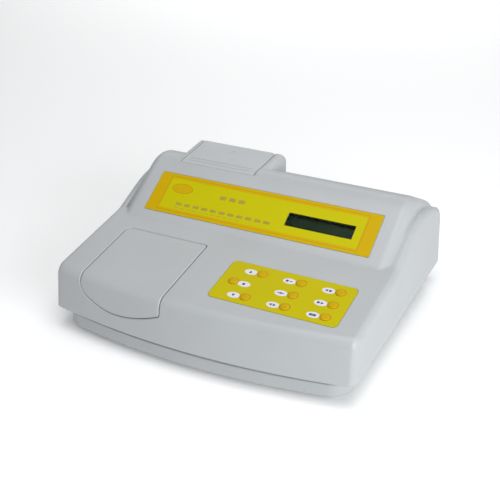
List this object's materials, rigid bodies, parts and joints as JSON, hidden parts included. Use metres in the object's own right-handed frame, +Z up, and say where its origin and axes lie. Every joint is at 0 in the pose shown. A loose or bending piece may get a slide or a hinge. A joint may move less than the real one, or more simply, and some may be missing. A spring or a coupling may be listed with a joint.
{
  "type": "bench-top digital water tester",
  "caption": "Bench-top turbidity meter: wedge-shaped plastic housing with bowed front, flap lid over the sample vial, keypad, sloping display panel and lamp housing.",
  "frame": {"origin": "middle of the footprint, on the surface that the feet stand on", "axes": "+X to the user's right, +Y from the front to the back, +Z up"},
  "size_m": [0.358, 0.3134, 0.1415],
  "materials": {
    "housing_plastic": "fine spark texture, light cool grey",
    "print_film": "printed polyester film, satin",
    "key_film": "moulded cap, satin",
    "black_plastic": "satin black",
    "rubber": "matt",
    "foam": "closed-cell foam",
    "steel": "bright plated",
    "aluminium": "satin",
    "black_anodised": "black anodised",
    "board_laminate": "solder mask",
    "clear_acrylic": "polished",
    "lcd_glass": "dark green display glass",
    "clear_glass": "polished",
    "winding_tape": "amber insulating tape"
  },
  "bodies": {
    "housing": {"amplifier_chip": "black_plastic", "capacitor_1": "black_plastic", "capacitor_2": "black_plastic", "collimating_lens": "clear_glass", "display_overlay": "print_film", "foot_1": "rubber", "foot_2": "rubber", "foot_3": "rubber", "foot_4": "rubber", "housing_screw_1": "steel", "housing_screw_2": "steel", "housing_screw_3": "steel", "housing_screw_4": "steel", "keypad_board": "board_laminate", "keypad_overlay": "print_film", "lamp_bulb": "clear_glass", "lamp_socket": "black_plastic", "lcd_board": "board_laminate", "lcd_frame": "steel", "lcd_glass": "lcd_glass", "lcd_window": "clear_acrylic", "lens_mount": "black_anodised", "lid_hinge_pin": "steel", "lower_housing": "housing_plastic", "main_board": "board_laminate", "memory_chip": "black_plastic", "optics_rail": "aluminium", "port_stud_1": "steel", "port_stud_2": "steel", "power_inlet": "black_plastic", "processor_chip": "black_plastic", "rear_panel": "aluminium", "sample_bay": "black_plastic", "sample_block": "black_anodised", "scatter_detector": "aluminium", "serial_port": "steel", "slit_plate": "black_anodised", "switch_frame": "black_plastic", "transformer_coil": "winding_tape", "transformer_core": "steel", "transmission_detector": "aluminium", "upper_housing": "housing_plastic"},
    "lid": {"sample_lid": "housing_plastic", "lid_gasket": "foam"},
    "cover": {"light_source_cover": "housing_plastic"},
    "vial": {"sample_vial": "clear_glass"},
    "cap": {"vial_cap": "black_plastic"},
    "rocker": {"switch_rocker": "black_plastic"},
    "drawer": {"fuse_drawer": "black_plastic", "fuse": "clear_glass"},
    "key_1": {"key_1": "key_film"},
    "key_2": {"key_2": "key_film"},
    "key_3": {"key_3": "key_film"},
    "key_4": {"key_4": "key_film"},
    "key_5": {"key_5": "key_film"},
    "key_6": {"key_6": "key_film"},
    "key_7": {"key_7": "key_film"},
    "key_8": {"key_8": "key_film"},
    "key_9": {"key_9": "key_film"}
  },
  "joints": [
    {"name": "lid_hinge", "type": "hinge", "parent": "housing", "child": "lid", "pos_m": [-0.089, -0.0468, 0.08573], "axis": [-1, 0, 0], "range_deg": [0, 100]},
    {"name": "cover_slide", "type": "slide", "parent": "housing", "child": "cover", "axis": [0, 0.9976, 0.0698], "range_m": [0, 0.06]},
    {"name": "vial_turn", "type": "hinge", "parent": "housing", "child": "vial", "pos_m": [-0.0889, -0.0907, 0.03], "axis": [0, 0, 1], "continuous": true},
    {"name": "cap_turn", "type": "hinge", "parent": "vial", "child": "cap", "pos_m": [-0.0889, -0.0907, 0.06], "axis": [0, 0, 1], "range_deg": [0, 180]},
    {"name": "rocker_turn", "type": "hinge", "parent": "housing", "child": "rocker", "pos_m": [0.048, 0.1494, 0.056], "axis": [0, 0, 1], "range_deg": [-18, 0]},
    {"name": "drawer_slide", "type": "slide", "parent": "housing", "child": "drawer", "axis": [0, 1, 0], "range_m": [0, 0.014]},
    {"name": "key_1_press", "type": "slide", "parent": "housing", "child": "key_1", "axis": [0, 0.13, -0.9915], "range_m": [0, 0.0006], "stiffness_N_per_m": 400},
    {"name": "key_2_press", "type": "slide", "parent": "housing", "child": "key_2", "axis": [0, 0.13, -0.9915], "range_m": [0, 0.0006], "stiffness_N_per_m": 400},
    {"name": "key_3_press", "type": "slide", "parent": "housing", "child": "key_3", "axis": [0, 0.13, -0.9915], "range_m": [0, 0.0006], "stiffness_N_per_m": 400},
    {"name": "key_4_press", "type": "slide", "parent": "housing", "child": "key_4", "axis": [0, 0.13, -0.9915], "range_m": [0, 0.0006], "stiffness_N_per_m": 400},
    {"name": "key_5_press", "type": "slide", "parent": "housing", "child": "key_5", "axis": [0, 0.13, -0.9915], "range_m": [0, 0.0006], "stiffness_N_per_m": 400},
    {"name": "key_6_press", "type": "slide", "parent": "housing", "child": "key_6", "axis": [0, 0.13, -0.9915], "range_m": [0, 0.0006], "stiffness_N_per_m": 400},
    {"name": "key_7_press", "type": "slide", "parent": "housing", "child": "key_7", "axis": [0, 0.13, -0.9915], "range_m": [0, 0.0006], "stiffness_N_per_m": 400},
    {"name": "key_8_press", "type": "slide", "parent": "housing", "child": "key_8", "axis": [0, 0.13, -0.9915], "range_m": [0, 0.0006], "stiffness_N_per_m": 400},
    {"name": "key_9_press", "type": "slide", "parent": "housing", "child": "key_9", "axis": [0, 0.13, -0.9915], "range_m": [0, 0.0006], "stiffness_N_per_m": 400}
  ]
}
